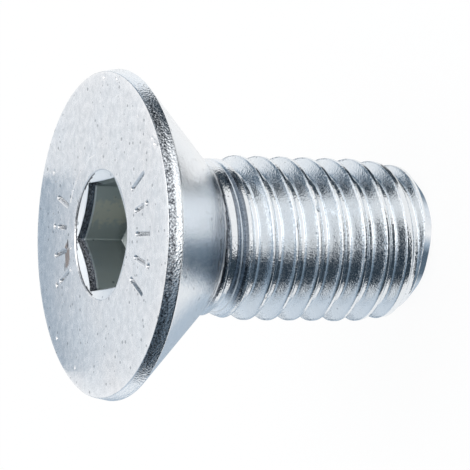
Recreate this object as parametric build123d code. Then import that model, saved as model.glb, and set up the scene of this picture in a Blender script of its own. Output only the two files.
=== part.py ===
"""Countersunk socket screw M10 x 20: a 90 degree head, a 6 mm hexagon socket and a full thread.

The screw stands on its cut end: +Z runs from that end to the head, and the origin is the centre
of the end's flat disc.  Sizes are in millimetres.  It is one forged, thread-rolled piece.
"""
from build123d import *
from build123d.topology import SkipClean
import math
import os

# Overall
LENGTH = 20.0                 # from the cut end to the head's flat face

# Head
HEAD_DIAMETER = 19.5          # across the edge where the cone starts
HEAD_CONE_ANGLE = 90.0        # included angle of the countersunk seat
RIM_HEIGHT = 0.85             # from the flat face down to the cone's edge
RIM_TAPER = 0.16              # how much further in the rim's upper edge lies
FACE_MARGIN_WIDTH = 1.0       # the ring of the face that rolls gently down to the rim
FACE_MARGIN_DROP = 0.11
RIM_EDGE_BREAK = 0.06         # taken off both edges of the rim

# Neck between the cone and the full thread
NECK_DIAMETER = 9.32          # about the pitch diameter, as the rod was before rolling
NECK_FILLET = 0.4
NECK_LENGTH = 1.56            # from the foot of the cone to where the crests begin to rise
CREST_RISE_LENGTH = 1.0

# Thread
THREAD_DIAMETER = 9.82        # over the crests
THREAD_PITCH = 1.5
THREAD_ANGLE = 60.0
GROOVE_HEIGHT = 0.18          # of the groove's centre over the end disc, at the +X side
RUNOUT_ANGLE = 180.0          # the groove climbs out of the rod over this arc
RUNOUT_CLEARANCE = 0.27       # from the groove's last trace to the foot of the cone
SECTOR_COUNT = 10             # the blank's surfaces are split into this many equal arcs

# Cut end
TIP_TAPER_LENGTH = 3.2
TIP_TAPER_DROP = 0.36         # radius lost along that taper
TIP_CHAMFER = 0.8             # at 45 degrees

# Hexagon socket
SOCKET_ACROSS_FLATS = 6.07
SOCKET_WALL_DEPTH = 2.9       # from the face to the lowest corner of the flats
SOCKET_POINT_ANGLE = 120.0    # included angle of the bottom's cone
SOCKET_ENTRY_DIAMETER = 7.63
SOCKET_ENTRY_ANGLE = 15.0     # of the shallow dish around the mouth, from the face

# Worked out from the sizes above
head_radius = HEAD_DIAMETER / 2
neck_radius = NECK_DIAMETER / 2
crest_radius = THREAD_DIAMETER / 2
cone_slope = math.tan(math.radians(HEAD_CONE_ANGLE / 2))
cone_height = (head_radius - neck_radius) / cone_slope
cone_top = LENGTH - RIM_HEIGHT
cone_foot = cone_top - cone_height

triangle_height = THREAD_PITCH * math.sqrt(3) / 2
thread_depth = 5 / 8 * triangle_height
root_radius = crest_radius - thread_depth
root_flat = THREAD_PITCH / 4
groove_margin = THREAD_PITCH * 0.06   # the cutter stands this far proud of the crests

socket_corner_radius = SOCKET_ACROSS_FLATS / math.sqrt(3)


def turned_profile() -> Face:
    """Half section of the blank, in the XZ plane with the axis at x = 0."""
    end_radius = crest_radius - TIP_TAPER_DROP - TIP_CHAMFER
    rim_radius = head_radius - RIM_TAPER
    neck_bottom = cone_foot - NECK_LENGTH
    margin_start = (rim_radius - FACE_MARGIN_WIDTH, LENGTH)
    rim_top = (rim_radius, LENGTH - FACE_MARGIN_DROP)
    neck_top = (neck_radius, cone_foot)
    cone_edge = (head_radius, cone_top)

    with BuildSketch(Plane.XZ) as section:
        with BuildLine():
            Polyline(
                margin_start,
                (0, LENGTH),
                (0, 0),
                (end_radius, 0),
                (end_radius + TIP_CHAMFER, TIP_CHAMFER),
                (crest_radius, TIP_CHAMFER + TIP_TAPER_LENGTH),
                (crest_radius, neck_bottom - CREST_RISE_LENGTH),
                (neck_radius, neck_bottom),
                neck_top,
                cone_edge,
                rim_top,
            )
            TangentArc(margin_start, rim_top, tangent=(1, 0))
        make_face()
        fillet(section.vertices().sort_by_distance(neck_top)[0], NECK_FILLET)
        for corner in (cone_edge, rim_top):
            chamfer(section.vertices().sort_by_distance(corner)[0], RIM_EDGE_BREAK)
    return section.sketch


def blank() -> Part:
    """The turned body before its thread and socket, built from equal sectors."""
    arc = 360 / SECTOR_COUNT
    sector = revolve(turned_profile(), Axis.Z, arc)
    with SkipClean():
        return Part() + [Rot(0, 0, arc * index) * sector for index in range(SECTOR_COUNT)]


def thread_paths() -> list[Edge]:
    """Right-hand helix along the groove's root, a turn or less each, and the cone helix after it."""
    start_height = GROOVE_HEIGHT - THREAD_PITCH
    runout_height = THREAD_PITCH * RUNOUT_ANGLE / 360
    full_height = cone_foot - RUNOUT_CLEARANCE - runout_height - start_height
    turn_count = math.ceil(full_height / THREAD_PITCH)
    turn_height = full_height / turn_count
    turn_angle = 360 * turn_height / THREAD_PITCH
    turn = Edge.make_helix(THREAD_PITCH, turn_height, root_radius)
    paths = [
        turn.rotate(Axis.Z, turn_angle * index).moved(
            Location((0, 0, start_height + turn_height * index))
        )
        for index in range(turn_count)
    ]

    climb = neck_radius - root_radius + groove_margin
    climb_angle = math.degrees(math.atan2(climb, runout_height))
    runout = Edge.make_helix(THREAD_PITCH, runout_height, root_radius, angle=climb_angle)
    runout = runout.rotate(Axis.Z, turn_angle * turn_count)
    joint = paths[-1] @ 1
    return paths + [runout.moved(Location(joint - runout @ 0))]


def groove_cutter(path: Edge) -> Part:
    """The 60 degree groove along one stretch of the helix, flat at its root."""
    depth = thread_depth + groove_margin
    half_root = root_flat / 2
    half_mouth = half_root + depth * math.tan(math.radians(THREAD_ANGLE / 2))
    start = path @ 0
    start_plane = Plane(origin=start, x_dir=(start.X, start.Y, 0), z_dir=path % 0)
    with BuildSketch(start_plane) as groove:
        with BuildLine():
            Polyline(
                (0, -half_root),
                (0, half_root),
                (depth, half_mouth),
                (depth, -half_mouth),
                close=True,
            )
        make_face()
    return sweep(groove.sketch, path=path, is_frenet=True)


def socket_cavity() -> Part:
    """Hexagonal recess with a dished mouth and a conical bottom, flats square to X."""
    point_slope = math.tan(math.radians(SOCKET_POINT_ANGLE / 2))
    point_depth = socket_corner_radius / point_slope
    bottom = LENGTH - SOCKET_WALL_DEPTH - point_depth
    hexagon = RegularPolygon(SOCKET_ACROSS_FLATS / 2, 6, major_radius=False, rotation=30)
    prism = Pos(0, 0, bottom) * extrude(hexagon, LENGTH - bottom)

    drill_top = LENGTH + socket_corner_radius
    drill = Pos(0, 0, bottom) * Cone(
        0,
        (drill_top - bottom) * point_slope,
        drill_top - bottom,
        align=(Align.CENTER, Align.CENTER, Align.MIN),
    )

    entry_radius = SOCKET_ENTRY_DIAMETER / 2
    entry_depth = entry_radius * math.tan(math.radians(SOCKET_ENTRY_ANGLE))
    entry = Pos(0, 0, LENGTH - entry_depth) * Cone(
        0,
        entry_radius,
        entry_depth,
        align=(Align.CENTER, Align.CENTER, Align.MIN),
    )
    return (prism & drill) + entry


def screw() -> Part:
    """The finished screw: the blank, less its thread's groove turn by turn, less the socket."""
    body = blank()
    with SkipClean():
        for path in thread_paths():
            body -= groove_cutter(path)
        return body - socket_cavity()


def main() -> None:
    """Write the screw's STEP file."""
    os.makedirs("parts", exist_ok=True)
    export_step(screw(), "parts/screw.step")


main()
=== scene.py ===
"""A countersunk socket screw in zinc-plated steel, standing on its cut end in soft studio light.

The screw is one piece.  Its surface is built as one closed skin: a helical grid for the thread and
neck, whose two cut edges are carried on by extruded rings over the head, down the hexagon socket
and across the cut end.  Sizes in the classes are millimetres; the finished mesh is in metres.
"""

import logging
import math
from collections.abc import Callable
from dataclasses import dataclass
from enum import Enum

import bmesh
import bpy
from mathutils import Matrix, Vector, noise

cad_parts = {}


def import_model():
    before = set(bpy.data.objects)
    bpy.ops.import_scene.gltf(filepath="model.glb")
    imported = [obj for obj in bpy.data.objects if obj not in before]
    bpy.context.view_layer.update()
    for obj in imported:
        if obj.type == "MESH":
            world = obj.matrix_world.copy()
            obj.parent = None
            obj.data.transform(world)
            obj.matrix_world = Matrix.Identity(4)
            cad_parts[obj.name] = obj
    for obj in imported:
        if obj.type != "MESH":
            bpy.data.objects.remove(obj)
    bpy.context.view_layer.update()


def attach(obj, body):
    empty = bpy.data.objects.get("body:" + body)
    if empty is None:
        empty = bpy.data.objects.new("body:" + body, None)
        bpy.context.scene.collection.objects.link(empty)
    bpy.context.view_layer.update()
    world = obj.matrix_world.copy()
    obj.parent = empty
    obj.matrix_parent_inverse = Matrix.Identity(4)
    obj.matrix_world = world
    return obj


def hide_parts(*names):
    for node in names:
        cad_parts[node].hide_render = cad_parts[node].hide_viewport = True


Point = tuple[float, float]
Colour = tuple[float, float, float]
Tones = tuple[tuple[float, float], ...]
Edges = list[bmesh.types.BMEdge]
Socket = bpy.types.NodeSocket
Material = bpy.types.Material

MM = 0.001
CAMERA_SIDE_BEARING = -95.0  # towards the camera, in degrees from +X; painted shade centres here
LOG = logging.getLogger("screw")


def smooth_step(value: float) -> float:
    """Ease from 0 to 1 as the value runs from 0 to 1."""
    held = min(max(value, 0.0), 1.0)
    return held * held * (3.0 - 2.0 * held)


def smooth_max(first: float, second: float, blend: float) -> float:
    """The larger of two lengths, with the corner between them rounded over the blend."""
    reach = max(blend - abs(first - second), 0.0) / blend
    return max(first, second) + reach * reach * blend / 4.0


def smooth_min(first: float, second: float, blend: float) -> float:
    """The smaller of two lengths, with the corner between them rounded over the blend."""
    return -smooth_max(-first, -second, blend)


def ring_point(angle: float, radius: float, height: float) -> Vector:
    """A point by its angle about the screw's axis, radius and height."""
    return Vector((radius * math.cos(angle), radius * math.sin(angle), height))


def polar(radius: float, degrees: float) -> Point:
    """X and Y of a place on the face by radius and angle from +X."""
    turned = math.radians(degrees)
    return radius * math.cos(turned), radius * math.sin(turned)


def evenly(start: Point, stop: Point, count: int) -> list[Point]:
    """Equally spaced points after one point, up to another."""
    shares = [step / count for step in range(1, count + 1)]
    return [tuple(a + (b - a) * share for a, b in zip(start, stop)) for share in shares]


class Zone(Enum):
    """The parts of the skin that wear differently or carry painted shade, each with its own finish.
    """

    FACE = 0
    RIM = 1
    CONE = 2
    THREAD = 3
    SOCKET = 4
    NECK = 5
    SHOULDER = 6
    LIP = 7


# ---- Forms ----


@dataclass(frozen=True)
class ThreadForm:
    """The rolled right-hand thread and its run-out under the head.

    Heights are from the cut end.  The groove's centre lies groove_height above the end on the +X
    side and climbs one pitch a turn.
    """

    pitch: float = 1.5
    crest_radius: float = 4.90
    root_radius: float = 4.10
    flank_angle: float = 60.0
    root_flat: float = 0.36
    root_rounding: float = 0.16
    crest_rounding: float = 0.05
    groove_height: float = 0.18
    full_depth_top: float = 13.034
    runout_turns: float = 0.5
    runout_climb: float = 0.67
    rows_per_pitch: int = 27

    def offset(self, turn: float, height: float) -> float:
        """Distance along the axis from the nearest groove's centre, positive towards the head."""
        lead = self.groove_height + self.pitch * turn
        return (height - lead + self.pitch / 2) % self.pitch - self.pitch / 2

    def groove(self, turn: float, height: float) -> float:
        """Radius of the thread's surface, before the blank's outline limits it.

        Args:
            turn: Angle about the axis, in turns from +X.
            height: Height over the cut end.

        Returns:
            The radius, which grows past the blank where the groove has run out.
        """
        offset = self.offset(turn, height)
        centre = height - offset
        past_full = (centre - self.full_depth_top) / (self.pitch * self.runout_turns)
        root = self.root_radius + self.runout_climb * max(past_full, 0.0)
        flank_slope = math.tan(math.radians(self.flank_angle))
        flank = self.root_radius + (abs(offset) - self.root_flat / 2) * flank_slope
        return smooth_max(root, flank, self.root_rounding)


@dataclass(frozen=True)
class ShankForm:
    """The blank's outline below the head: neck, crests, tapered tip and chamfered end.

    The end is cut back further on one side: lean is how far, about lean_bearing, and the other
    lean values say where that starts and how it fades round the end and up the shank.
    """

    neck_radius: float = 4.66
    crest_radius: float = 4.90
    cone_foot: float = 14.06
    foot_blend: float = 0.16
    neck_bottom: float = 12.5
    crest_top: float = 11.5
    taper_top: float = 4.0
    taper_drop: float = 0.36
    taper_power: float = 1.6
    chamfer: float = 0.8
    end_hollow: float = 0.04
    skin_top: float = 14.6
    lean: float = 0.45
    lean_bearing: float = -157.0
    lean_start: float = 0.1
    lean_span: float = 0.7
    lean_top: float = 0.8
    lean_fade: float = 1.4

    @property
    def end_radius(self) -> float:
        """Radius of the flat disc at the cut end."""
        return self.crest_radius - self.taper_drop - self.chamfer

    def lowered(self, turn: float, height: float) -> float:
        """The height on the upright outline that shows at a place on the leaning end.

        Args:
            turn: Angle about the axis, in turns from +X.
            height: Height over the cut end.

        Returns:
            The height to look up in the outline.
        """
        off = math.cos(math.tau * turn - math.radians(self.lean_bearing))
        near_end = 1.0 - smooth_step((height - self.lean_top) / self.lean_fade)
        return height - self.lean * smooth_step((off - self.lean_start) / self.lean_span) * near_end

    def outline(self, height: float) -> float:
        """Radius of the unthreaded blank.

        Args:
            height: Height over the cut end.

        Returns:
            The radius at that height.
        """
        if height < self.chamfer:
            return self.end_radius + height
        if height < self.taper_top:
            share = (self.taper_top - height) / (self.taper_top - self.chamfer)
            return self.crest_radius - self.taper_drop * share**self.taper_power
        if height < self.crest_top:
            return self.crest_radius
        rise = (height - self.crest_top) / (self.neck_bottom - self.crest_top)
        neck = self.crest_radius + (self.neck_radius - self.crest_radius) * smooth_step(rise)
        cone = self.neck_radius + height - self.cone_foot
        return smooth_max(neck, cone, self.foot_blend)


@dataclass(frozen=True)
class HeadForm:
    """The countersunk head above the neck.

    The length is a hair under the nominal 20, so that the skin never stands above that height.
    """

    length: float = 19.9998
    edge_radius: float = 9.74
    rim_height: float = 0.85
    rim_taper: float = 0.17
    margin_width: float = 1.0
    margin_drop: float = 0.03
    edge_rounding: float = 0.06
    rounding_steps: int = 4
    cone_rings: int = 20
    margin_rings: int = 8
    face_rings: int = 36

    @property
    def cone_top(self) -> float:
        """Height of the edge between the cone and the rim."""
        return self.length - self.rim_height

    def section(self, foot: Point, inner: float) -> list[Point]:
        """The rings up the cone, over the rim and its margin and in across the face.

        Args:
            foot: Radius and height of the ring that the cone starts from.
            inner: Radius of the last ring on the face.

        Returns:
            Each ring's radius and height.
        """
        cone_end = (self.edge_radius, self.cone_top)
        rim_top = (self.edge_radius - self.rim_taper, self.length - self.margin_drop)
        margin_radius = rim_top[0] - self.margin_width
        sweep = (self.margin_width**2 + self.margin_drop**2) / (2 * self.margin_drop)
        margin = []
        for ring in range(1, self.margin_rings + 1):
            radius = rim_top[0] - self.margin_width * ring / self.margin_rings
            fall = sweep - math.sqrt(sweep**2 - (radius - margin_radius) ** 2)
            margin.append((radius, self.length - fall))
        rings = self.rounded(evenly(foot, cone_end, self.cone_rings), rim_top)
        rings = self.rounded([*rings, rim_top], margin[0]) + margin[1:]
        return rings + evenly((margin_radius, self.length), (inner, self.length), self.face_rings)

    def rounded(self, rings: list[Point], following: Point) -> list[Point]:
        """Round the corner that the last ring stands on, before the section turns.

        Args:
            rings: The section so far, ending at the sharp corner.
            following: The next point after the corner.

        Returns:
            The section with the corner replaced by a short curve.
        """
        before, sharp, after = Vector(rings[-2]), Vector(rings[-1]), Vector(following)
        start = sharp + (before - sharp).normalized() * self.edge_rounding
        stop = sharp + (after - sharp).normalized() * self.edge_rounding
        curve = []
        for step in range(self.rounding_steps + 1):
            share = step / self.rounding_steps
            curve.append(tuple(start.lerp(sharp, share).lerp(sharp.lerp(stop, share), share)))
        return rings[:-1] + curve


@dataclass(frozen=True)
class SocketForm:
    """The punched hexagon socket, with two flats square to X.

    From the face down come a dished entry, a steep lip, the walls and a conical floor.  The shares
    place the rings of each, from 0 at its upper edge to 1 at its lower; a lip ring also has how far
    it swells inwards.
    """

    mouth_across: float = 6.42
    lip_across: float = 6.17
    lip_depth: float = 0.40
    lip_edge: float = 0.11
    floor_across: float = 6.06
    entry_radius: float = 3.815
    entry_angle: float = 15.0
    entry_step: float = 0.08
    entry_rounding: float = 0.03
    entry_fall: float = 0.002
    face_gap: float = 0.06
    wall_depth: float = 2.9
    point_angle: float = 120.0
    entry_shares: tuple[float, ...] = (0.14, 0.35, 0.65, 0.93)
    lip_rings: tuple[Point, ...] = (
        (0.03, 0.01), (0.12, 0.0), (0.4, 0.0), (0.7, 0.0), (0.94, 0.0), (1.0, 0.015),
    )
    wall_shares: tuple[float, ...] = (0.02, 0.05, 0.1, 0.2, 0.4, 0.6, 0.8, 0.94, 0.985)
    floor_shares: tuple[float, ...] = (0.0, 0.02, 0.08, 0.25, 0.45, 0.65, 0.85, 0.96)

    def hexagon(self, angle: float, across: float) -> float:
        """Radius of a hexagon's outline at an angle about the axis."""
        from_flat = (angle + math.pi / 6) % (math.pi / 3) - math.pi / 6
        return across / 2 / math.cos(from_flat)

    def entry_height(self, top: float, radius: float) -> float:
        """Height of the dished entry at a radius, under a face at the top."""
        dish = math.tan(math.radians(self.entry_angle))
        return top - self.entry_step - (self.entry_radius - radius) * dish

    def floor_height(self, top: float, radius: float) -> float:
        """Height of the conical floor at a radius, under a face at the top."""
        point = math.tan(math.radians(90.0 - self.point_angle / 2))
        return top - self.wall_depth - (self.floor_across / math.sqrt(3.0) - radius) * point

    def section(self, top: float, angle: float) -> list[Point]:
        """The rings from the face down to the floor's centre.

        Args:
            top: Height of the face.
            angle: Angle about the axis.

        Returns:
            Each ring's radius and height at that angle.
        """
        mouth = self.hexagon(angle, self.mouth_across)
        lip = self.hexagon(angle, self.lip_across)
        deep = self.hexagon(angle, self.floor_across)
        lip_top, wall_bottom = self.entry_height(top, mouth), self.floor_height(top, deep)
        wall_top = lip_top - self.lip_depth
        step_bottom = top - self.entry_step
        rings = [
            (self.entry_radius + self.entry_rounding, top),
            (self.entry_radius, step_bottom),
            (self.entry_radius - self.entry_rounding, step_bottom - self.entry_fall),
        ]
        for share in self.entry_shares:
            radius = self.entry_radius + (mouth - self.entry_radius) * share
            rings.append((radius, self.entry_height(top, radius)))
        for share, swell in self.lip_rings:
            radius = mouth + (lip - mouth) * share - swell
            rings.append((radius, lip_top - self.lip_depth * share))
        for share in self.wall_shares:
            height = wall_top + (wall_bottom - wall_top) * share
            rings.append((lip + (deep - lip) * share, height))
        for share in self.floor_shares:
            radius = deep * (1.0 - share)
            rings.append((radius, self.floor_height(top, radius)))
        return rings


@dataclass(frozen=True)
class Borders:
    """Where one zone of the skin gives way to the next, from the forms' own edges."""

    seam: float = 0.02  # kept short of an edge
    fillet_above: float = 0.14  # of the cone's foot
    neck_below: float = 0.24  # of the cone's foot
    runout_below: float = 0.2  # of the top of the full thread
    thread_flank: float = -0.10  # offset from the groove's centre
    pale_edge: Point = (-0.42, -0.35)  # offsets from the groove's centre
    far_side: float = -1.2  # from the axis towards the camera side
    far_line: float = 0.1  # inside the entry's circle


@dataclass(frozen=True)
class Dent:
    """A mark pressed into the skin along a short line.

    Start and end are in the skin's own two directions: across the face they are X and Y, and round
    the shank they are the arc's length from +X and the height.  The lip beside it is a share of the
    depth, and stands where its middle and width say, in half widths of the mark.
    """

    start: Point
    end: Point
    half_width: float
    depth: float
    lip: float = 0.25
    lip_middle: float = 1.3
    lip_width: float = 0.6
    extent: float = 2.0

    def reach(self, across: float, along: float) -> float:
        """How far a place is from the mark's line.

        Args:
            across: The place's first coordinate.
            along: The place's second coordinate.

        Returns:
            The distance in half widths.
        """
        first, last, place = Vector(self.start), Vector(self.end), Vector((across, along))
        line = last - first
        share = 0.0
        if line.length_squared > 0.0:
            share = min(max((place - first).dot(line) / line.length_squared, 0.0), 1.0)
        return (place - first - line * share).length / self.half_width

    def pressed(self, across: float, along: float) -> float:
        """How deep the mark is at a place.

        Args:
            across: The place's first coordinate.
            along: The place's second coordinate.

        Returns:
            The depth, negative on the lip pushed up beside the mark.
        """
        reach = self.reach(across, along)
        if reach >= self.extent:
            return 0.0
        bowl = 1.0 - smooth_step(reach)
        ridge = self.lip * (1.0 - smooth_step(abs(reach - self.lip_middle) / self.lip_width))
        return self.depth * (bowl - ridge)


# ---- Marks ----

# Each knock and pore on the face: where it is, its half width and its depth.
FACE_DINGS = (
    ((4.30, 6.78), 0.17, 0.07),
    ((-5.68, 6.65), 0.16, 0.07),
    ((-7.61, 3.99), 0.14, 0.06),
    ((9.16, -0.84), 0.20, 0.07),
    ((8.86, -2.70), 0.18, 0.06),
    ((4.56, -7.91), 0.26, 0.08),
    ((4.95, -7.55), 0.16, 0.06),
    ((6.4, -5.6), 0.12, 0.05),
    ((-1.75, 4.45), 0.13, 0.07),
    ((-0.45, 4.35), 0.12, 0.06),
)

# Each knock on the thread: its ends, by arc round the crests and height, half width and depth.
CREST_NICKS = (
    ((-6.25, 8.05), (-5.85, 7.85), 0.20, 0.16),
    ((-5.9, 7.65), (-5.6, 7.55), 0.13, 0.12),
    ((-5.35, 6.45), (-5.2, 6.3), 0.14, 0.12),
    ((-8.36, 3.64), (-8.95, 4.08), 0.10, 0.10),
    ((-8.7, 6.3), (-8.75, 6.2), 0.12, 0.08),
    ((-11.9, 10.8), (-11.8, 10.7), 0.14, 0.10),
    ((-10.1, 0.9), (-10.9, 1.6), 0.12, 0.14),
    ((-10.6, 0.6), (-11.4, 1.3), 0.10, 0.12),
    ((-11.2, 0.5), (-11.9, 1.0), 0.12, 0.14),
    ((-6.6, 5.0), (-6.5, 4.9), 0.10, 0.08),
    ((-7.4, 9.5), (-7.3, 9.45), 0.09, 0.07),
)


@dataclass(frozen=True)
class StampedRow:
    """A row of plain radial strokes stamped beside the socket, the short ones with a dot."""

    first_angle: float
    lengths: tuple[float, ...]
    step_angle: float = 15.0
    inner_radius: float = 5.2
    half_width: float = 0.19
    depth: float = 0.2
    dotted_below: float = 1.4
    dot_gap: float = 0.6
    dot_half_width: float = 0.23

    def marks(self) -> list[Dent]:
        """The row's strokes and dots.

        Returns:
            One mark for each stroke and each dot.
        """
        marks = []
        for stroke, length in enumerate(self.lengths):
            angle = self.first_angle + self.step_angle * stroke
            outer = self.inner_radius + length
            ends = polar(self.inner_radius, angle), polar(outer, angle)
            marks.append(Dent(*ends, self.half_width, self.depth))
            if length < self.dotted_below:
                dot = polar(outer + self.dot_gap, angle)
                marks.append(Dent(dot, dot, self.dot_half_width, self.depth))
        return marks


@dataclass(frozen=True)
class ScribedArc:
    """A faint arc scribed round part of the socket's entry, a little unsteadily."""

    first_angle: float = 8.0
    step_angle: float = 9.0
    corners: int = 7
    radius: float = 4.85
    waver: float = 0.05
    half_width: float = 0.07
    depth: float = 0.03

    def marks(self) -> list[Dent]:
        """The arc as a chain of short strokes.

        Returns:
            One mark for each stroke.
        """
        corners = [
            polar(self.radius + self.waver * (step % 2), self.first_angle + self.step_angle * step)
            for step in range(self.corners)
        ]
        return [
            Dent(start, end, self.half_width, self.depth)
            for start, end in zip(corners, corners[1:])
        ]


def face_marks() -> list[Dent]:
    """All the marks on the head's face.

    Returns:
        The stamped rows, the dings and the scribed arc.
    """
    rows = StampedRow(-124.0, (1.7, 1.3, 1.7, 1.0, 1.7)), StampedRow(66.0, (1.5, 1.0, 1.5, 1.2))
    stamped = [mark for row in rows for mark in row.marks()]
    dings = [Dent(place, place, half_width, depth) for place, half_width, depth in FACE_DINGS]
    return stamped + dings + ScribedArc().marks()


# ---- The screw's skin ----


class Screw:
    """Builds the screw's skin as one closed mesh and dresses its zones."""

    STEPS = 216  # of the grid, round the axis
    MERGE_GAP, CUT_GAP, LOOP_GAP = 1e-4, 1e-5, 1e-3  # how near counts as touching
    TIP_SHARES = (0.985, 0.95, 0.85, 0.7, 0.5, 0.3, 0.12)
    TIP_STEEPNESS = 3.0
    FACE_BAND = 0.02  # how far below its top the face may lie
    WORN_FROM = 0.3  # the height where the crests' wear starts
    CREST_RISE = 0.8
    CREST_LOSS = 0.012
    MOST_RAISED = 0.01
    WAVES = ((0.9, 0.012), (4.0, 0.006))  # each one's noise scale and height
    REFINED_REACH, REFINED_CUTS = 1.9, 3

    def __init__(self) -> None:
        """Take the forms at their real sizes and start an empty skin."""
        self.thread, self.shank = ThreadForm(), ShankForm()
        self.head, self.socket = HeadForm(), SocketForm()
        self.borders = Borders()
        self.skin = bmesh.new()

    def build(self, finishes: dict[Zone, Material]) -> bpy.types.Object:
        """Make the skin, dent it and put it in the scene.

        Args:
            finishes: One material for each zone.

        Returns:
            The finished object, at the origin.
        """
        self.roll_thread()
        self.raise_head()
        self.close_tip()
        bmesh.ops.recalc_face_normals(self.skin, faces=self.skin.faces)
        self.wear()
        self.mark_zones()
        bmesh.ops.scale(self.skin, vec=Vector((MM, MM, MM)), verts=self.skin.verts)

        mesh = bpy.data.meshes.new("screw_skin")
        self.skin.to_mesh(mesh)
        self.skin.free()
        for zone in Zone:
            mesh.materials.append(finishes[zone])
        mesh.shade_smooth()
        piece = bpy.data.objects.new("zinc_screw", mesh)
        bpy.context.scene.collection.objects.link(piece)
        return piece

    def roll_thread(self) -> None:
        """Spin the thread's section up its helix and trim it flat at both ends."""
        rows = self.thread.rows_per_pitch
        bottom = -self.thread.pitch
        count = math.ceil((self.shank.skin_top - bottom) / self.thread.pitch * rows) + 1
        line = [
            self.skin.verts.new((1.0, 0.0, bottom + self.thread.pitch * row / rows))
            for row in range(count)
        ]
        edges = [self.skin.edges.new(pair) for pair in zip(line, line[1:])]
        bmesh.ops.spin(
            self.skin,
            geom=line + edges,
            cent=(0.0, 0.0, 0.0),
            axis=(0.0, 0.0, 1.0),
            dvec=(0.0, 0.0, self.thread.pitch / self.STEPS),
            angle=math.tau,
            steps=self.STEPS,
            use_merge=False,
            use_duplicate=False,
        )
        bmesh.ops.remove_doubles(self.skin, verts=self.skin.verts, dist=self.MERGE_GAP)
        for height, upwards in ((0.0, -1.0), (self.shank.skin_top, 1.0)):
            bmesh.ops.bisect_plane(
                self.skin,
                geom=self.skin.verts[:] + self.skin.edges[:] + self.skin.faces[:],
                dist=self.CUT_GAP,
                plane_co=(0.0, 0.0, height),
                plane_no=(0.0, 0.0, upwards),
                clear_outer=True,
            )
        for vert in self.skin.verts:
            angle = math.atan2(vert.co.y, vert.co.x)
            radius = self.shank_radius(angle / math.tau, vert.co.z)
            vert.co = ring_point(angle, radius, vert.co.z)

    def shank_radius(self, turn: float, height: float) -> float:
        """Radius of the threaded shank at an angle, in turns, and a height."""
        outline = self.shank.outline(self.shank.lowered(turn, height))
        return smooth_min(outline, self.thread.groove(turn, height), self.thread.crest_rounding)

    def open_loop(self, height: float) -> Edges:
        """The open edges of the skin at one height.

        Args:
            height: Height over the cut end.

        Returns:
            The edges, unordered.
        """
        return [
            edge
            for edge in self.skin.edges
            if edge.is_boundary
            and all(abs(vert.co.z - height) < self.LOOP_GAP for vert in edge.verts)
        ]

    def extend(self, loop: Edges, place: Callable[[float], Point]) -> Edges:
        """Carry an open edge on by one ring.

        Args:
            loop: The open edges to carry on.
            place: Gives radius and height of the new ring at an angle.

        Returns:
            The new ring's edges.
        """
        made = bmesh.ops.extrude_edge_only(self.skin, edges=loop)["geom"]
        for vert in (item for item in made if isinstance(item, bmesh.types.BMVert)):
            angle = math.atan2(vert.co.y, vert.co.x)
            vert.co = ring_point(angle, *place(angle))
        return [item for item in made if isinstance(item, bmesh.types.BMEdge) and item.is_boundary]

    def close(self, loop: Edges, height: float | None = None) -> None:
        """Draw an open edge together to a point on the axis.

        Args:
            loop: The open edges.
            height: Height of the point, or None for the mean height of the edge.
        """
        ends = list({vert for edge in loop for vert in edge.verts})
        if height is None:
            height = sum(vert.co.z for vert in ends) / len(ends)
        bmesh.ops.pointmerge(self.skin, verts=ends, merge_co=Vector((0.0, 0.0, height)))

    def raise_head(self) -> None:
        """Carry the skin up the cone, over the rim and face, and down the socket."""
        foot = (self.shank.outline(self.shank.skin_top), self.shank.skin_top)
        inner = self.socket.entry_radius + self.socket.face_gap
        loop = self.open_loop(self.shank.skin_top)
        for place in self.head.section(foot, inner):
            loop = self.extend(loop, lambda angle, ring=place: ring)
        top = self.head.length
        for ring in range(len(self.socket.section(top, 0.0))):
            loop = self.extend(loop, lambda angle, at=ring: self.socket.section(top, angle)[at])
        self.close(loop)

    def close_tip(self) -> None:
        """Close the cut end with a faintly dished disc."""
        loop = self.open_loop(0.0)
        radius, deep = self.shank.end_radius - self.shank.lean, self.shank.end_hollow
        for share in self.TIP_SHARES:
            hollow = deep * smooth_step((1.0 - share) * self.TIP_STEEPNESS)
            loop = self.extend(loop, lambda angle, ring=(radius * share, hollow): ring)
        self.close(loop, deep)

    def wear(self) -> None:
        """Press the marks into the face and the shank and roughen the crests a little."""
        on_face = face_marks()
        on_shank = [Dent(*nick) for nick in CREST_NICKS]
        top = self.head.length
        self.refine(on_face)
        for vert in self.skin.verts:
            radius, height = vert.co.xy.length, vert.co.z
            if height > top - self.FACE_BAND and radius < self.head.edge_radius:
                vert.co.z -= sum(mark.pressed(vert.co.x, vert.co.y) for mark in on_face)
                vert.co.z = min(vert.co.z, top)
            elif self.WORN_FROM < height < self.shank.skin_top:
                angle = math.atan2(vert.co.y, vert.co.x)
                arc = angle * self.thread.crest_radius
                crest = smooth_step((radius - self.thread.root_radius) / self.CREST_RISE)
                wave = sum(noise.noise(vert.co * scale) * size for scale, size in self.WAVES)
                depth = max(sum(mark.pressed(arc, height) for mark in on_shank), -self.MOST_RAISED)
                moved = radius - depth * crest - (self.CREST_LOSS + wave) * crest
                vert.co = ring_point(angle, moved, height)

    def refine(self, marks: list[Dent]) -> None:
        """Divide the face's mesh more finely under the marks.

        Args:
            marks: The marks that need a finer mesh.
        """
        edges = set()
        lowest = self.head.length - self.FACE_BAND
        for face in self.skin.faces:
            centre = face.calc_center_median()
            if centre.z < lowest or centre.xy.length < self.socket.entry_radius:
                continue
            if any(mark.reach(centre.x, centre.y) < self.REFINED_REACH for mark in marks):
                edges.update(face.edges)
        bmesh.ops.subdivide_edges(
            self.skin, edges=list(edges), cuts=self.REFINED_CUTS, use_grid_fill=True
        )

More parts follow.
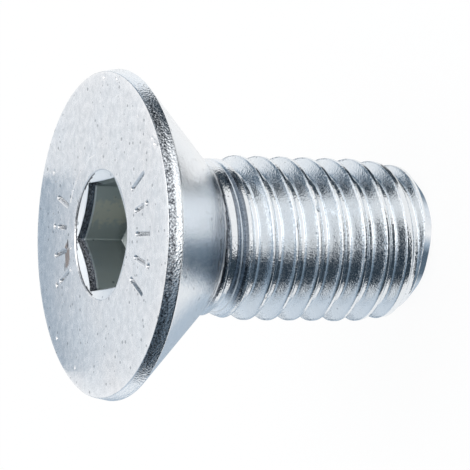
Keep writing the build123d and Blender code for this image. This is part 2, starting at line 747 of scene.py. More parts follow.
    def mark_zones(self) -> None:
        """Give each face of the skin its zone's finish."""
        head, seam = self.head, self.borders.seam
        for face in self.skin.faces:
            centre = face.calc_center_median()
            radius = centre.xy.length
            if centre.z < self.shank.cone_foot + self.borders.fillet_above:
                zone = self.shank_zone(centre)
            elif radius < self.socket.entry_radius:
                zone = self.socket_zone(centre)
            elif centre.z < head.cone_top - seam:
                zone = Zone.CONE
            elif radius > head.edge_radius - head.rim_taper - seam:
                zone = Zone.RIM
            else:
                zone = Zone.FACE
            face.material_index = zone.value

    def socket_zone(self, centre: Vector) -> Zone:
        """The finish of one face inside the entry's circle.

        Args:
            centre: The face's middle.

        Returns:
            The face's zone.
        """
        form, start = self.socket, math.radians(CAMERA_SIDE_BEARING)
        edge = form.hexagon(math.atan2(centre.y, centre.x), form.mouth_across)
        towards = centre.x * math.cos(start) + centre.y * math.sin(start)
        # The far side faces the camera: its entry ring and upper wall take the lip's painted shade.
        far = towards < self.borders.far_side
        if far and centre.xy.length > form.entry_radius - self.borders.far_line:
            return Zone.LIP
        if centre.xy.length > edge:
            return Zone.SHOULDER
        fall = form.entry_height(self.head.length, edge) - centre.z
        if fall < form.lip_depth:
            return Zone.LIP if far else Zone.SOCKET
        return Zone.SHOULDER if fall < form.lip_depth + form.lip_edge else Zone.SOCKET

    def shank_zone(self, centre: Vector) -> Zone:
        """The finish of one face of the shank, by its place on the run-out.

        Args:
            centre: The face's middle.

        Returns:
            The face's zone.
        """
        borders, foot = self.borders, self.shank.cone_foot
        if centre.z > foot - borders.seam:
            return Zone.SHOULDER
        # The band under the shoulder and the run-out's flanks take the neck's painted shade.
        if centre.z > foot - borders.neck_below:
            return Zone.NECK
        offset = self.thread.offset(math.atan2(centre.y, centre.x) / math.tau, centre.z)
        runout_bottom = self.thread.full_depth_top - borders.runout_below
        if centre.z - offset < runout_bottom or offset > borders.thread_flank:
            return Zone.THREAD
        lower, upper = borders.pale_edge
        return Zone.SHOULDER if lower < offset < upper else Zone.NECK


# ---- Finishes ----


class NodeWriter:
    """Adds nodes to a tree and links them by name."""

    def __init__(self, tree: bpy.types.NodeTree) -> None:
        """Start writing in a tree."""
        self.tree = tree

    def add(self, kind: str, links: dict | None = None, **settings: object) -> bpy.types.Node:
        """Add one node.

        Args:
            kind: The node's type, without its ShaderNode prefix where it has one.
            links: Input name or number to a value or to another node's output socket.
            settings: Properties of the node.

        Returns:
            The new node.
        """
        prefix = "" if kind.startswith("Node") else "ShaderNode"
        node = self.tree.nodes.new(prefix + kind)
        for name, value in settings.items():
            setattr(node, name, value)
        for name, value in (links or {}).items():
            socket = node.inputs[name]
            if isinstance(value, Socket):
                self.tree.links.new(value, socket)
            else:
                socket.default_value = value
        return node

    def math(self, operation: str, *values: Socket | float) -> Socket:
        """Add a Math node and give its result."""
        return self.add("Math", dict(enumerate(values)), operation=operation).outputs[0]

    def place(self) -> Socket:
        """Object coordinates."""
        return self.add("TexCoord").outputs["Object"]

    def split(self, place: Socket) -> list[Socket]:
        """X, Y and Z of a place."""
        return self.add("SeparateXYZ", {0: place}).outputs[:]

    def clamp(self, value: Socket) -> Socket:
        """Hold a value between 0 and 1."""
        return self.add("Clamp", {"Value": value}).outputs[0]

    def blend(self, factor: Socket, first: Socket | tuple, second: Socket | tuple) -> Socket:
        """Mix two colours, the first at 0 and the second at 1."""
        links = {"Factor": factor, "A": first, "B": second}
        return self.add("Mix", links, data_type="RGBA").outputs["Result"]

    def ease(self, value: Socket, start: float, stop: float) -> Socket:
        """0 where a value is at the start and 1 where it is at the stop, smoothly."""
        links = {"Value": value, "From Min": start, "From Max": stop}
        return self.add("MapRange", links, interpolation_type="SMOOTHSTEP").outputs[0]

    def glow(self, colour: Socket | tuple, strength: float = 1.0) -> Socket:
        """A shader that gives off a colour."""
        return self.add("Emission", {"Color": colour, "Strength": strength}).outputs[0]


def blank_material(name: str) -> tuple[Material, NodeWriter]:
    """Start a material.

    Args:
        name: The material's name.

    Returns:
        The material, with no nodes, and a writer for it.
    """
    made = bpy.data.materials.new(name)
    made.use_nodes = True
    made.node_tree.nodes.clear()
    return made, NodeWriter(made.node_tree)


class EffectWriter(NodeWriter):
    """Writes a shared effect: a node group from a place and named numbers to one amount."""

    PER_METRE = 1000.0

    def __init__(self, name: str, **inputs: float) -> None:
        """Start a group.

        Args:
            name: The group's name.
            inputs: The default of each named number.
        """
        super().__init__(bpy.data.node_groups.new(name, "ShaderNodeTree"))
        sockets = self.tree.interface
        sockets.new_socket(name="place", in_out="INPUT", socket_type="NodeSocketVector")
        for label, value in inputs.items():
            socket = sockets.new_socket(name=label, in_out="INPUT", socket_type="NodeSocketFloat")
            socket.default_value = value
        sockets.new_socket(name="amount", in_out="OUTPUT", socket_type="NodeSocketFloat")
        self.given = self.add("NodeGroupInput").outputs

    def per_mm(self, label: str) -> Socket:
        """Texture scale for a named size in millimetres."""
        return self.math("DIVIDE", self.PER_METRE, self.given[label])

    def texture(self, kind: str, scale: Socket | float, **values: float) -> bpy.types.Node:
        """A texture at the group's place."""
        return self.add(kind, {"Vector": self.given["place"], "Scale": scale, **values})

    def finish(self, amount: Socket) -> bpy.types.NodeTree:
        """Send an amount out of the group and give the group."""
        self.add("NodeGroupOutput", {"amount": amount})
        return self.tree


def mottle_effect() -> bpy.types.NodeTree:
    """Cloudy variation, as plating has.

    Returns:
        The node group.
    """
    write = EffectWriter("plating_mottle", size_mm=1.0, contrast=1.0)
    cloud = write.texture("TexNoise", write.per_mm("size_mm"), Detail=4.0, Roughness=0.6)
    centred = write.math("SUBTRACT", cloud.outputs[0], 0.5)
    spread = write.math("MULTIPLY", centred, write.given["contrast"])
    return write.finish(write.clamp(write.math("ADD", spread, 0.5)))


def speck_effect() -> bpy.types.NodeTree:
    """Small scattered spots, such as pores and grime, of uneven size.

    Returns:
        The node group.
    """
    write = EffectWriter("dark_specks", spacing_mm=0.5, spot_share=0.2, coverage=0.5)
    edge_sharpness = 12.0
    cells = write.texture("TexVoronoi", write.per_mm("spacing_mm"))
    chance = write.add("SeparateColor", {0: cells.outputs["Color"]})
    size = write.math("MULTIPLY", chance.outputs[0], write.given["spot_share"])
    inside = write.math("SUBTRACT", size, cells.outputs["Distance"])
    edge = write.math("MULTIPLY", inside, edge_sharpness)
    kept = write.math("LESS_THAN", chance.outputs[1], write.given["coverage"])
    return write.finish(write.clamp(write.math("MULTIPLY", edge, kept)))


def streak_effect() -> bpy.types.NodeTree:
    """Fine lines that run round the axis, as rolling and turning leave them.

    Returns:
        The node group.
    """
    write = EffectWriter("rolling_streaks", line_mm=0.1, run_mm=2.0)
    x, y, z = write.split(write.given["place"])
    squares = [write.math("MULTIPLY", axis, axis) for axis in (x, y)]
    radius = write.math("SQRT", write.math("ADD", *squares))
    line, run = write.per_mm("line_mm"), write.per_mm("run_mm")
    drawn = {
        0: write.math("MULTIPLY", x, run),
        1: write.math("MULTIPLY", y, run),
        2: write.math("MULTIPLY", write.math("ADD", z, radius), line),
    }
    stretched = write.add("CombineXYZ", drawn).outputs[0]
    lines = write.add("TexNoise", {"Vector": stretched, "Scale": 1.0, "Detail": 3.0})
    return write.finish(lines.outputs[0])


def facet_effect() -> bpy.types.NodeTree:
    """Small facets that tilt every way, as a rough plated edge has.

    Returns:
        The node group.
    """
    write = EffectWriter("crystal_facets", size_mm=0.12)
    cells = write.texture("TexVoronoi", write.per_mm("size_mm"))
    return write.finish(cells.outputs["Distance"])


def stain_effect() -> bpy.types.NodeTree:
    """A ragged stain about one place, by its X, Y and half sizes.

    Returns:
        The node group.
    """
    write = EffectWriter("ragged_stain", x_mm=0.0, y_mm=0.0, half_x_mm=1.0, half_y_mm=1.0)
    ragged_scale, raggedness, edge_sharpness = 2600.0, 1.6, 3.0
    squares = []
    for axis, label in zip(write.split(write.given["place"]), "xy"):
        along = write.math("MULTIPLY", axis, write.PER_METRE)
        away = write.math("SUBTRACT", along, write.given[f"{label}_mm"])
        share = write.math("DIVIDE", away, write.given[f"half_{label}_mm"])
        squares.append(write.math("MULTIPLY", share, share))
    reach = write.math("SQRT", write.math("ADD", *squares))
    ragged = write.texture("TexNoise", ragged_scale, Detail=3.0)
    uneven = write.math("MULTIPLY", write.math("SUBTRACT", ragged.outputs[0], 0.5), raggedness)
    inside = write.math("SUBTRACT", 1.0, write.math("ADD", reach, uneven))
    return write.finish(write.clamp(write.math("MULTIPLY", inside, edge_sharpness)))


@dataclass(frozen=True)
class Stain:
    """A discoloured patch: its middle and half sizes in millimetres and its linear colour."""

    middle: Point
    half: Point
    colour: Colour
    depth: float


@dataclass(frozen=True)
class PlatedFinish:
    """Bright zinc plating on one zone of the screw.

    Colours are linear.  The dark colour shows in specks, in the hollows of the mottle and in the
    painted shade, and the warm colour comes and goes in wide patches.  The painted shade darkens
    the plating by height, standing in for shade in hollows and for dark reflections: it is full
    from the second of its heights on and falls to painted_shade_below at the first.  With fades
    set, the finish gives way to plain plating away from the side towards the camera.  Names that
    end in um are relief heights in micrometres.
    """

    name: str
    bright: Colour = (0.84, 0.885, 0.93)
    warm: Colour = (0.865, 0.885, 0.90)
    dark: Colour = (0.30, 0.33, 0.36)
    patch_mm: float = 4.0
    patch_contrast: float = 2.2
    roughness: float = 0.20
    roughness_spread: float = 0.16
    mottle_mm: float = 0.6
    mottle_depth: float = 0.10
    mottle_contrast: float = 2.0
    speck_spacing_mm: float = 0.5
    speck_share: float = 0.30
    speck_coverage: float = 0.35
    speck_depth: float = 0.7
    speck_um: float = -4.0
    peel_mm: float = 0.9
    peel_um: float = 6.0
    grain_mm: float = 0.16
    grain_um: float = 4.0
    facet_mm: float = 0.13
    facet_um: float = 0.0
    streak_mm: float = 0.09
    streak_run_mm: float = 6.0
    streak_um: float = 0.0
    frost_mm: float = 0.12
    frost: float = 0.0
    frost_contrast: float = 5.0
    frost_sparseness: float = 2.0
    shade_patch_mm: float = 0.13
    painted_shade_depth: float = 0.0
    painted_shade_heights: Point = (19.45, 19.6)
    painted_shade_below: float = 0.35
    painted_shade_evenness: float = 0.4
    shade_patch_contrast: float = 4.0
    fades: bool = False
    fade_nearness: Point = (0.42, 0.72)
    stains: tuple[Stain, ...] = ()

    def material(self, effects: dict[str, bpy.types.NodeTree]) -> Material:
        """Write the finish's material.

        Args:
            effects: The shared node groups by name.

        Returns:
            A material for the zone.
        """
        made, write = blank_material(self.name)
        place = write.place()

        def effect(name: str, **values: float) -> Socket:
            """Place a shared effect with named values."""
            links = {"place": place, **values}
            return write.add("Group", links, node_tree=effects[name]).outputs[0]

        mottle = effect("mottle", size_mm=self.mottle_mm, contrast=self.mottle_contrast)
        specks = effect(
            "specks",
            spacing_mm=self.speck_spacing_mm,
            spot_share=self.speck_share,
            coverage=self.speck_coverage,
        )
        rough = write.math("MULTIPLY", write.math("SUBTRACT", mottle, 0.5), self.roughness_spread)
        rough = write.math("ADD", self.roughness, rough)
        if self.frost > 0.0:
            frosted = effect("mottle", size_mm=self.frost_mm, contrast=self.frost_contrast)
            sparse = write.math("POWER", frosted, self.frost_sparseness)
            rough = write.math("ADD", rough, write.math("MULTIPLY", sparse, self.frost))
        links = {
            "Base Color": self.colour(write, effect, mottle, specks),
            "Metallic": 1.0,
            "Roughness": rough,
            "Normal": self.relief(write, effect, specks),
        }
        shader = write.add("BsdfPrincipled", links)
        write.add("OutputMaterial", {0: shader.outputs[0]})
        return made

    def colour(
        self, write: NodeWriter, effect: Callable[..., Socket], mottle: Socket, specks: Socket
    ) -> Socket:
        """Lay the specks, mottle, painted shade and stains over the plating's own colours.

        Args:
            write: Writer for the material.
            effect: Places a shared effect with named values.
            mottle: The plating's mottle.
            specks: The plating's specks.

        Returns:
            The colour.
        """
        patches = effect("mottle", size_mm=self.patch_mm, contrast=self.patch_contrast)
        tone = write.blend(patches, (*self.bright, 1.0), (*self.warm, 1.0))
        hollow = write.math("MULTIPLY", write.math("SUBTRACT", 1.0, mottle), self.mottle_depth)
        dirt_and_shade = write.math("MAXIMUM", hollow, write.math("MULTIPLY", specks, self.speck_depth))
        # Painted shade and dark reflection: the plating darkens by height, in patches.
        if self.painted_shade_depth > 0.0:
            shade_mottle = effect("mottle", size_mm=self.shade_patch_mm, contrast=self.shade_patch_contrast)
            low, high = self.painted_shade_heights
            edge = {
                "Value": write.split(write.place())[2],
                "From Min": low * MM,
                "From Max": high * MM,
                "To Min": self.painted_shade_below,
            }
            depth = write.math("MULTIPLY", write.add("MapRange", edge).outputs[0], self.painted_shade_depth)
            uneven = write.math("MULTIPLY", shade_mottle, 1.0 - self.painted_shade_evenness)
            patchy = write.math("ADD", uneven, self.painted_shade_evenness)
            dirt_and_shade = write.math("MAXIMUM", dirt_and_shade, write.math("MULTIPLY", patchy, depth))
        tone = write.blend(dirt_and_shade, tone, (*self.dark, 1.0))
        # Painted shade: the whole dark finish is kept on the side towards the camera.
        if self.fades:
            tone = self.faded(write, tone)
        for stain in self.stains:
            (x, y), (half_x, half_y) = stain.middle, stain.half
            mask = effect("stain", x_mm=x, y_mm=y, half_x_mm=half_x, half_y_mm=half_y)
            spread = write.math("MULTIPLY", mask, stain.depth)
            tone = write.blend(spread, tone, (*stain.colour, 1.0))
        return tone

    def relief(self, write: NodeWriter, effect: Callable[..., Socket], specks: Socket) -> Socket:
        """Add up the plating's fine relief.

        Args:
            write: Writer for the material.
            effect: Places a shared effect with named values.
            specks: The plating's specks.

        Returns:
            The bumped normal.
        """
        layers = [
            (effect("mottle", size_mm=self.peel_mm, contrast=1.0), self.peel_um),
            (effect("mottle", size_mm=self.grain_mm, contrast=1.0), self.grain_um),
            (specks, self.speck_um),
        ]
        if self.facet_um > 0.0:
            layers.append((effect("facets", size_mm=self.facet_mm), self.facet_um))
        if self.streak_um > 0.0:
            streaks = effect("streaks", line_mm=self.streak_mm, run_mm=self.streak_run_mm)
            layers.append((streaks, self.streak_um))
        height = 0.0
        for layer, rise in layers:
            height = write.math("ADD", height, write.math("MULTIPLY", layer, rise))
        micrometre = 0.001 * MM
        return write.add("Bump", {"Height": height, "Distance": micrometre}).outputs[0]

    def faded(self, write: NodeWriter, tone: Socket) -> Socket:
        """Keep the painted shade towards the camera and let plain plating take over round the
        sides.

        Args:
            write: Writer for the material.
            tone: The colour where the painted shade is whole.

        Returns:
            The colour everywhere.
        """
        start = math.radians(CAMERA_SIDE_BEARING)
        level = write.add(
            "VectorMath", {0: write.place(), 1: (1.0, 1.0, 0.0)}, operation="MULTIPLY"
        ).outputs[0]
        outwards = write.add("VectorMath", {0: level}, operation="NORMALIZE").outputs[0]
        middle = (math.cos(start), math.sin(start), 0.0)
        nearness = write.add("VectorMath", {0: outwards, 1: middle}, operation="DOT_PRODUCT")
        whole = write.ease(nearness.outputs["Value"], *self.fade_nearness)
        return write.blend(whole, (*PlatedFinish.bright, 1.0), tone)


FINISHES = {
    # Painted shade: the face darkens below its top, down in the pressed marks.
    Zone.FACE: PlatedFinish(
        "zinc_face",
        bright=(0.86, 0.885, 0.915),
        warm=(0.90, 0.89, 0.895),
        dark=(0.24, 0.26, 0.28),
        roughness=0.25,
        mottle_mm=0.5,
        mottle_depth=0.32,
        speck_spacing_mm=0.38,
        speck_share=0.34,
        speck_coverage=0.6,
        peel_um=14.0,
        grain_um=11.0,
        painted_shade_depth=0.85,
        painted_shade_heights=(19.93, 19.86),
        painted_shade_below=0.0,
        stains=(
            Stain((-0.95, 4.95), (0.85, 0.42), (0.30, 0.22, 0.18), 0.85),
            Stain((-0.20, 4.85), (0.35, 0.14), (0.07, 0.06, 0.06), 0.8),
            Stain((-1.55, 5.30), (0.30, 0.10), (0.09, 0.07, 0.06), 0.7),
        ),
    ),
    # Painted dark reflection: the rim darkens towards its top, near-black there, on the camera side
    # alone.
    Zone.RIM: PlatedFinish(
        "zinc_rim_painted_shade",
        dark=(0.03, 0.035, 0.045),
        roughness=0.12,
        roughness_spread=0.1,
        speck_spacing_mm=0.35,
        speck_share=0.34,
        speck_coverage=0.5,
        grain_um=6.0,
        facet_um=15.0,
        frost=0.16,
        painted_shade_depth=1.0,
        fades=True,
    ),
    Zone.CONE: PlatedFinish(
        "zinc_cone",
        roughness=0.13,
        roughness_spread=0.1,
        mottle_mm=0.35,
        mottle_depth=0.18,
        peel_um=4.0,
        grain_um=2.5,
        streak_um=4.0,
        facet_mm=0.11,
        facet_um=6.0,
        frost=0.06,
    ),
    Zone.THREAD: PlatedFinish(
        "zinc_thread",
        roughness=0.12,
        mottle_mm=0.35,
        mottle_depth=0.12,
        speck_spacing_mm=0.3,
        speck_coverage=0.25,
        peel_um=4.0,
        grain_um=3.0,
        streak_um=4.0,
        facet_mm=0.11,
        facet_um=8.0,
        frost=0.14,
    ),
    # Painted shade: the socket's darker plating, darkening further towards its floor; the olive
    # patch is a stain.
    Zone.SOCKET: PlatedFinish(
        "zinc_socket_painted_shade",
        bright=(0.51, 0.575, 0.59),
        warm=(0.55, 0.575, 0.54),
        dark=(0.16, 0.18, 0.18),
        roughness=0.44,
        roughness_spread=0.1,
        peel_um=10.0,
        painted_shade_depth=0.6,
        painted_shade_heights=(17.6, 17.1),
        painted_shade_below=0.0,
        stains=(Stain((1.35, 2.29), (1.0, 0.9), (0.80, 0.77, 0.64), 0.55),),
    ),
    # Painted shade and dark reflection: dark neck plating, darkest near the cone's foot, kept
    # towards the camera.
    Zone.NECK: PlatedFinish(
        "zinc_neck_painted_shade",
        bright=(0.34, 0.39, 0.45),
        warm=(0.27, 0.31, 0.36),
        dark=(0.04, 0.045, 0.06),
        mottle_mm=0.2,
        mottle_depth=0.6,
        grain_um=6.0,
        facet_um=8.0,
        frost=0.12,
        painted_shade_depth=0.95,
        painted_shade_heights=(13.6, 13.8),
        painted_shade_below=0.15,
        fades=True,
    ),
    Zone.SHOULDER: PlatedFinish("zinc_shoulder", roughness=0.42, roughness_spread=0.1),
    # Painted shade: near-black patchy plating on the far upper socket wall, where shade and dark
    # reflection fall.
    Zone.LIP: PlatedFinish(
        "zinc_lip_painted_shade",
        bright=(0.62, 0.64, 0.66),
        warm=(0.06, 0.065, 0.08),
        dark=(0.012, 0.013, 0.02),
        mottle_mm=0.2,
        mottle_depth=1.0,
        grain_um=10.0,
        facet_um=16.0,
        shade_patch_mm=0.11,
        painted_shade_depth=0.95,
        painted_shade_heights=(18.0, 18.5),
    ),
}


def screw_materials() -> dict[Zone, Material]:
    """Write the screw's materials.

    Returns:
        One material for each zone.
    """
    effects = {
        "mottle": mottle_effect(),
        "specks": speck_effect(),
        "streaks": streak_effect(),
        "facets": facet_effect(),
        "stain": stain_effect(),
    }
    return {zone: finish.material(effects) for zone, finish in FINISHES.items()}


# ---- Studio ----


@dataclass(frozen=True)
class Viewpoint:
    """Where the camera stands.  Azimuth 0 is at -Y, and the roll is clockwise."""

    azimuth: float = -5.0
    elevation: float = 25.40
    roll: float = 88.76
    distance: float = 258.5
    target: tuple[float, float, float] = (0.149, -0.013, 11.28)
    lens: float = 333.5
    clip_start: float = 1.0

    @property
    def towards(self) -> Vector:
        """Level direction from the axis to the camera."""
        turned = math.radians(self.azimuth)
        return Vector((math.sin(turned), -math.cos(turned), 0.0))

    @property
    def beside(self) -> Vector:
        """Level direction square to the one towards the camera, on the camera's right."""
        return Vector((0.0, 0.0, 1.0)).cross(self.towards)

    @property
    def heading(self) -> float:
        """Direction towards the camera, counterclockwise from +X, in radians."""
        return math.atan2(self.towards.y, self.towards.x)

    def camera(self) -> None:
        """Put the camera in the scene."""
        data = bpy.data.cameras.new("camera")
        data.lens = self.lens
        data.clip_start = self.clip_start * MM
        camera = bpy.data.objects.new("camera", data)
        bpy.context.scene.collection.objects.link(camera)
        lift = math.radians(self.elevation)
        away = self.towards * math.cos(lift) + Vector((0.0, 0.0, math.sin(lift)))
        upright = Vector((0.0, 0.0, math.cos(lift))) - self.towards * math.sin(lift)
        turned = math.radians(self.roll)
        up = upright * math.cos(turned) + self.beside * math.sin(turned)
        right = self.beside * math.cos(turned) - upright * math.sin(turned)
        axes = Matrix((right, up, away)).transposed().to_4x4()
        place = (Vector(self.target) + away * self.distance) * MM
        camera.matrix_world = Matrix.Translation(place) @ axes
        bpy.context.scene.camera = camera


def tone_colour(tone: float) -> tuple[float, float, float, float]:
    """Colour of a tone: the darker, the bluer.

    Args:
        tone: The brightness, 1 for white.

    Returns:
        The colour and an alpha of 1.
    """
    red_lost, blue_gained = 0.34, 0.36
    shade = min(max(1.0 - tone, 0.0), 1.0)
    return tone * (1.0 - red_lost * shade), tone, tone * (1.0 + blue_gained * shade), 1.0


class BearingWriter:
    """Writes a glowing material whose tone changes with the bearing about the axis.

    A bearing is 0 towards the camera and grows to the camera's left, in degrees.
    """

    def __init__(self, name: str, heading: float) -> None:
        """Start a material.

        Args:
            name: The material's name.
            heading: Direction of bearing 0, counterclockwise from +X, in radians.
        """
        self.material, self.write = blank_material(name)
        place = self.write.place()
        turned = self.write.add(
            "VectorRotate",
            {"Vector": place, "Axis": (0.0, 0.0, 1.0), "Angle": -heading},
            rotation_type="AXIS_ANGLE",
        )
        forward, leftward, self.height = self.write.split(turned.outputs[0])
        across = self.write.math("MULTIPLY", leftward, -1.0)
        angle = self.write.math("ARCTAN2", across, forward)
        self.share = self.write.math("ADD", self.write.math("DIVIDE", angle, math.tau), 0.5)

    def ramp(self, tones: Tones) -> Socket:
        """A colour ramp over the full circle.

        Args:
            tones: The tones by bearing, first and last alike.

        Returns:
            The ramp's colour.
        """
        node = self.write.add("ValToRGB", {"Fac": self.share})
        stops = node.color_ramp.elements
        while len(stops) < len(tones):
            stops.new(0.5)
        for stop, (degrees, tone) in zip(stops, tones):
            stop.position = (degrees + 180.0) / 360.0
            stop.color = tone_colour(tone)
        return node.outputs["Color"]

    def glowing(self, colour: Socket) -> Material:
        """Let the material glow in a colour."""
        self.write.add("OutputMaterial", {0: self.write.glow(colour)})
        return self.material


@dataclass(frozen=True)
class Curtain:
    """A round curtain for the metal to mirror, with tones by bearing in four bands.

    The bands are low, belt, mid and high, and blend between their heights.
    """

    radius: float = 120.0
    top: float = 205.0
    segments: int = 96
    low_top: float = 15.0
    belt_heights: Point = (21.0, 36.0)
    mid_heights: Point = (50.0, 80.0)
    high_bottom: float = 112.0
    low: Tones = (
        (-180, 1.10), (-168, 0.95), (-160, 0.20), (-146, 0.20), (-138, 0.80), (-118, 0.85),
        (-107, 0.80), (-102, 0.12), (-85, 0.08), (-64, 0.12), (-55, 1.25), (-30, 1.80),
        (-2, 2.00), (7, 1.35), (14, 0.75), (22, 0.40), (32, 0.22), (60, 0.14),
        (92, 0.11), (103, 0.15), (108, 0.80), (136, 0.80), (145, 0.20), (158, 0.20),
        (168, 0.95), (180, 1.10),
    )
    belt: Tones = (
        (-180, 0.84), (-165, 1.20), (-150, 0.95), (-138, 0.90), (-119, 0.30), (-104, 0.25),
        (-90, 0.90), (-80, 1.50), (-50, 2.10), (-10, 2.40), (2, 2.30), (10, 1.80),
        (20, 1.05), (30, 0.60), (42, 0.34), (56, 0.24), (72, 0.23), (86, 0.38),
        (100, 0.56), (140, 0.74), (154, 0.76), (165, 1.20), (180, 0.84),
    )
    mid: Tones = (
        (-180, 0.84), (-174, 0.88), (-165, 1.20), (-150, 0.95), (-138, 0.90), (-127, 0.55),
        (-119, 0.16), (-104, 0.12), (-97, 0.28), (-90, 0.50), (-84, 0.54), (-72, 0.54),
        (2, 0.54), (18, 0.50), (42, 0.34), (56, 0.23), (72, 0.22), (86, 0.36),
        (100, 0.56), (140, 0.74), (154, 0.76), (165, 1.20), (174, 0.88), (180, 0.84),
    )
    high: Tones = (
        (-180, 1.15), (-150, 1.15), (-141, 1.05), (-137, 0.92), (-132, 0.42), (-128, 0.14),
        (-122, 0.09), (-112, 0.14), (-104, 0.50), (-96, 1.10), (-30, 1.25), (0, 1.10),
        (12, 0.60), (30, 0.20), (80, 0.14), (96, 0.42), (110, 0.66), (145, 0.74), (180, 1.15),
    )

    def material(self, heading: float) -> Material:
        """Write the curtain's glowing material.

        Args:
            heading: Direction of bearing 0, counterclockwise from +X, in radians.

        Returns:
            The material.
        """
        bands = BearingWriter("graded_curtain", heading)
        colour = bands.ramp(self.low)
        for start, stop, tones in (
            (self.low_top, self.belt_heights[0], self.belt),
            (self.belt_heights[1], self.mid_heights[0], self.mid),
            (self.mid_heights[1], self.high_bottom, self.high),
        ):
            rise = bands.write.ease(bands.height, start * MM, stop * MM)
            colour = bands.write.blend(rise, colour, bands.ramp(tones))
        return bands.glowing(colour)


@dataclass(frozen=True)
class ContactShadow:
    """The dark disc under the screw that the chamfer mirrors, graded by bearing."""

    radius: float = 4.3
    height: float = 0.01
    segments: int = 64
    tones: Tones = (
        (-180, 0.40), (-70, 0.25), (-46, 0.25), (-32, 0.80), (-6, 1.00), (3, 0.50),
        (12, 0.14), (35, 0.16), (48, 0.60), (80, 0.50), (180, 0.40),
    )


@dataclass(frozen=True)
class EdgeCard:
    """A low curved card behind the head, grey below and pale above."""

    radius: float = 13.0
    bearing: float = 139.0
    sweep: float = 57.0
    steps: int = 24
    bottom: float = 20.6
    height: float = 4.6
    graded: Point = (22.0, 25.2)
    tones: Point = (0.50, 0.84)


# The flat panels' corners, in millimetres towards the camera and to its left.
PANELS = {
    "flag_over_near": ((-70.0, 17.0), (-30.0, 118.0), (118.0, 30.0), (118.0, 17.0)),
    "flag_over_front": ((52.0, -17.0), (52.0, 17.0), (118.0, 17.0), (118.0, -17.0)),
    "flag_over_far": ((-118.0, -20.0), (-20.0, -118.0), (-30.0, -118.0), (-118.0, -60.0)),
    "flag_foot_near": (
        (4.6, 3.0), (10.4, -7.5), (12.6, -4.0), (14.4, 0.5),
        (22.0, 13.0), (95.0, 54.0), (30.0, 105.0), (5.0, 60.0),
    ),
    "flag_foot_far": ((3.2, -5.6), (14.0, -42.0), (-14.0, -42.0), (-1.8, -6.2)),
    "flag_floor_near": (
        (46.0, 8.0), (118.0, 14.0), (70.0, 95.0), (-25.0, 115.0), (-8.0, 48.0),
    ),
    "flag_floor_far": ((22.0, -42.0), (56.0, -104.0), (-36.0, -112.0), (-14.0, -45.0)),
    "card_foot_grey": ((-5.0, 6.5), (-8.0, 60.0), (-60.0, 40.0), (-60.0, 4.0), (-12.0, 2.0)),
}


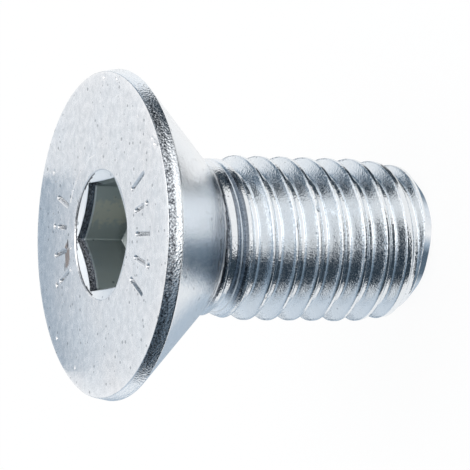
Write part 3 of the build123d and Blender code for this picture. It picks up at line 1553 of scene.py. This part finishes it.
class Studio:
    """The floor, the world, the lamp and the panels that only the metal mirrors."""

    FLOOR_SIZE = 3.0  # metres
    WORLD_LIGHT, WORLD_STRENGTH = (0.95, 0.97, 1.0, 1.0), 0.7
    WHITE = (1.0, 1.0, 1.0, 1.0)
    FLOOR_COLOUR, FLOOR_GLOW, FLOOR_GLOWING = (0.9, 0.9, 0.9, 1.0), 1.04, 0.88
    DARK_TONE, GREY_TONE = 0.05, 0.56
    OVERHEAD, UNDERFOOT = 203.0, 0.3  # heights of the flat panels
    LAMP_SIZE, LAMP_PLACE, LAMP_WATTS = (200.0, 90.0), (0.0, -36.0, 215.0), 0.07

    def __init__(self, view: Viewpoint) -> None:
        """Keep the viewpoint that the panels are set around."""
        self.view = view

    def build(self) -> None:
        """Set up everything round the screw."""
        self.world()
        self.floor()
        self.curtain()
        self.panels()
        self.contact()
        self.edge_card()
        self.lamp()

    def place(self, forward: float, sideways: float, height: float) -> Vector:
        """A place in metres, from millimetres towards the camera, to its left and up."""
        level = self.view.towards * forward - self.view.beside * sideways
        return (level + Vector((0.0, 0.0, height))) * MM

    def seen_or_mirrored(self, write: NodeWriter) -> Socket:
        """1 for rays from the camera and from mirrors and glass, else 0.

        Args:
            write: Writer for the material.

        Returns:
            The number.
        """
        path = write.add("LightPath")
        seen = write.math("MAXIMUM", path.outputs["Is Camera Ray"], path.outputs["Is Glossy Ray"])
        return write.math("MAXIMUM", seen, path.outputs["Is Transmission Ray"])

    def world(self) -> None:
        """A white surround whose light on the screw is plain."""
        world = bpy.data.worlds.new("studio")
        world.use_nodes = True
        bpy.context.scene.world = world
        world.node_tree.nodes.clear()
        write = NodeWriter(world.node_tree)
        factor = self.seen_or_mirrored(write)
        light = write.add(
            "Background", {"Color": self.WORLD_LIGHT, "Strength": self.WORLD_STRENGTH}
        )
        white = write.add("Background", {"Color": self.WHITE, "Strength": 1.0})
        mixed = write.add("MixShader", {0: factor, 1: light.outputs[0], 2: white.outputs[0]})
        write.add("OutputWorld", {0: mixed.outputs[0]})

    def floor(self) -> None:
        """A white floor that keeps a faint shadow."""
        made, write = blank_material("studio_floor")
        matt = write.add("BsdfDiffuse", {"Color": self.FLOOR_COLOUR}).outputs[0]
        glow = write.glow(self.WHITE, self.FLOOR_GLOW)
        factor = write.math("MULTIPLY", self.seen_or_mirrored(write), self.FLOOR_GLOWING)
        mixed = write.add("MixShader", {0: factor, 1: matt, 2: glow})
        write.add("OutputMaterial", {0: mixed.outputs[0]})

        grid = bmesh.new()
        bmesh.ops.create_grid(grid, x_segments=1, y_segments=1, size=self.FLOOR_SIZE / 2)
        self.staged("floor", grid, made)

    def staged(self, name: str, shape: bmesh.types.BMesh, material: Material) -> bpy.types.Object:
        """Turn a shape into a stage object that isn't part of the screw.

        Args:
            name: The object's name.
            shape: The shape, in metres, which is freed.
            material: Its material.

        Returns:
            The object.
        """
        mesh = bpy.data.meshes.new(name)
        shape.to_mesh(mesh)
        shape.free()
        mesh.materials.append(material)
        made = bpy.data.objects.new(name, mesh)
        bpy.context.scene.collection.objects.link(made)
        return made

    def hang(self, name: str, shape: bmesh.types.BMesh, material: Material) -> None:
        """Stage a panel that shows in mirror images alone.

        Args:
            name: The panel's name.
            shape: The shape, in metres, which is freed.
            material: Its material.
        """
        panel = self.staged(name, shape, material)
        panel.visible_camera = panel.visible_diffuse = panel.visible_shadow = False
        panel.visible_transmission = panel.visible_volume_scatter = False

    def curtain(self) -> None:
        """Hang the graded curtain."""
        form = Curtain()
        shape = bmesh.new()
        bmesh.ops.create_circle(
            shape, cap_ends=False, radius=form.radius * MM, segments=form.segments
        )
        made = bmesh.ops.extrude_edge_only(shape, edges=shape.edges[:])["geom"]
        upper = [item for item in made if isinstance(item, bmesh.types.BMVert)]
        bmesh.ops.translate(shape, vec=(0.0, 0.0, form.top * MM), verts=upper)
        self.hang("curtain", shape, form.material(self.view.heading))

    def panels(self) -> None:
        """Lay the dark and grey panels over the screw and round its foot."""
        dark = self.card_material("dark_flag", self.DARK_TONE)
        grey = self.card_material("grey_card", self.GREY_TONE)
        for name, corners in PANELS.items():
            height = self.OVERHEAD if "over" in name else self.UNDERFOOT
            shape = bmesh.new()
            ends = [shape.verts.new(self.place(*corner, height)) for corner in corners]
            bmesh.ops.contextual_create(shape, geom=ends)
            self.hang(name, shape, grey if "grey" in name else dark)

    def card_material(self, name: str, tone: float) -> Material:
        """Write a plain glowing material of one tone.

        Args:
            name: The material's name.
            tone: Its tone.

        Returns:
            The material.
        """
        made, write = blank_material(name)
        write.add("OutputMaterial", {0: write.glow(tone_colour(tone))})
        return made

    def contact(self) -> None:
        """Lay the contact shadow's disc."""
        form = ContactShadow()
        shape = bmesh.new()
        bmesh.ops.create_circle(
            shape, cap_ends=True, radius=form.radius * MM, segments=form.segments
        )
        bmesh.ops.translate(shape, vec=(0.0, 0.0, form.height * MM), verts=shape.verts)
        graded = BearingWriter("contact_shadow", self.view.heading)
        self.hang("contact_shadow", shape, graded.glowing(graded.ramp(form.tones)))

    def edge_card(self) -> None:
        """Stand the curved card behind the head."""
        form = EdgeCard()
        made, write = blank_material("edge_card")
        low, high = (height * MM for height in form.graded)
        height = write.split(write.place())[2]
        rise = write.add("MapRange", {"Value": height, "From Min": low, "From Max": high})
        shade = write.blend(rise.outputs[0], *(tone_colour(tone) for tone in form.tones))
        write.add("OutputMaterial", {0: write.glow(shade)})

        shape = bmesh.new()
        corner = self.place(*polar(form.radius, form.bearing), form.bottom)
        above = corner + Vector((0.0, 0.0, form.height * MM))
        ends = [shape.verts.new(corner), shape.verts.new(above)]
        bmesh.ops.spin(
            shape,
            geom=ends + [shape.edges.new(ends)],
            cent=(0.0, 0.0, 0.0),
            axis=(0.0, 0.0, -1.0),
            angle=math.radians(form.sweep),
            steps=form.steps,
            use_merge=False,
            use_duplicate=False,
        )
        self.hang("edge_card", shape, made)

    def lamp(self) -> None:
        """Hang one broad soft lamp overhead."""
        data = bpy.data.lights.new("overhead", "AREA")
        data.shape = "RECTANGLE"
        data.size, data.size_y = (size * MM for size in self.LAMP_SIZE)
        data.energy = self.LAMP_WATTS
        lamp = bpy.data.objects.new("overhead", data)
        lamp.location = self.place(*self.LAMP_PLACE)
        lamp.rotation_euler = (0.0, 0.0, math.radians(self.view.azimuth + 90.0))
        lamp.visible_camera = False
        bpy.context.scene.collection.objects.link(lamp)


def main() -> None:
    """Build the screw and the studio and report what was made."""
    logging.basicConfig(level=logging.INFO, format="%(name)s: %(message)s")
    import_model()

    screw = Screw().build(screw_materials())
    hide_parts("screw")
    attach(screw, "root")
    LOG.info("built %s with %d faces", screw.name, len(screw.data.polygons))

    view = Viewpoint()
    view.camera()
    Studio(view).build()
    bpy.context.scene.view_settings.view_transform = "Standard"
    LOG.info("set the studio round azimuth %.1f", view.azimuth)

    bpy.context.view_layer.update()


if __name__ == "__main__":
    main()
